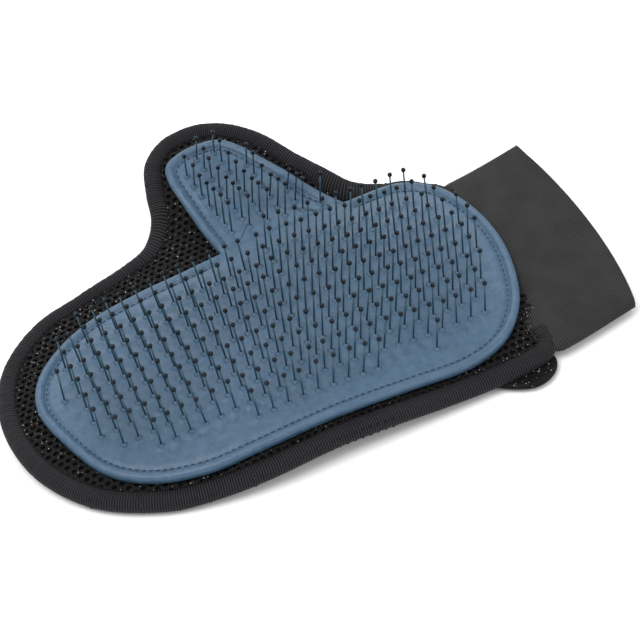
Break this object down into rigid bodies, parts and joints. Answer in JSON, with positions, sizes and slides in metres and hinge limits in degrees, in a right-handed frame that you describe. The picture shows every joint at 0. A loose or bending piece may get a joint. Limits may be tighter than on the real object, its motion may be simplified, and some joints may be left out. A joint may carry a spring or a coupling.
{
  "type": "pet grooming glove",
  "caption": "Mesh mitt with a thumb, rubber palm and thumb pads full of ball-tipped wire pins, a bound edge and an elastic cuff.",
  "frame": {"origin": "under the middle of the whole glove, on the surface that it lies on with its pins up", "axes": "+X from the fingertips to the cuff, +Y towards the thumb, +Z the way the pins point"},
  "size_m": [0.2414, 0.1752, 0.0418],
  "materials": {
    "rubber": "satin moulded rubber, blue-grey",
    "mesh": "black spacer mesh with oval holes",
    "binding": "charcoal ribbed binding tape",
    "elastic": "dark grey ribbed woven elastic",
    "thread": "dark blue sewing thread",
    "pin_wire": "teal coated spring wire",
    "ball_tip": "near-black rounded tips"
  },
  "bodies": {
    "hand": {"palm_mesh": "mesh", "back_mesh": "mesh", "back_mesh_corner": "mesh", "little_finger_binding": "binding", "crotch_binding": "binding", "wrist_corner_binding": "binding", "palm_pad_rim": "rubber", "palm_pad_stitching": "thread", "palm_pin_field": "rubber", "thumb_root_pad_rim": "rubber", "thumb_root_pad_field": "rubber", "cuff_root": "elastic"},
    "fingers": {"finger_palm_mesh": "mesh", "finger_back_mesh": "mesh", "finger_binding": "binding", "finger_pad_rim": "rubber", "finger_pad_stitching": "thread", "finger_pin_field": "rubber"},
    "thumb": {"thumb_palm_mesh": "mesh", "thumb_back_mesh": "mesh", "thumb_binding": "binding", "thumb_pad_rim": "rubber", "thumb_pad_stitching": "thread", "thumb_pin_field": "rubber"},
    "cuff": {"elastic_cuff": "elastic"}
  },
  "joints": [
    {"name": "finger_curl", "type": "hinge", "parent": "hand", "child": "fingers", "pos_m": [-0.04715, -0.02716, 0.0173], "axis": [0, 1, 0], "range_deg": [0, 30], "stiffness_Nm_per_rad": 0.25},
    {"name": "thumb_flex", "type": "hinge", "parent": "hand", "child": "thumb", "pos_m": [-0.04085, 0.04284, 0.018], "axis": [0.9878, -0.1555, 0], "range_deg": [-15, 35], "stiffness_Nm_per_rad": 0.15},
    {"name": "cuff_flex", "type": "hinge", "parent": "hand", "child": "cuff", "pos_m": [0.08645, -0.03116, 0.009], "axis": [0, -1, 0], "range_deg": [0, 25], "stiffness_Nm_per_rad": 0.1}
  ]
}
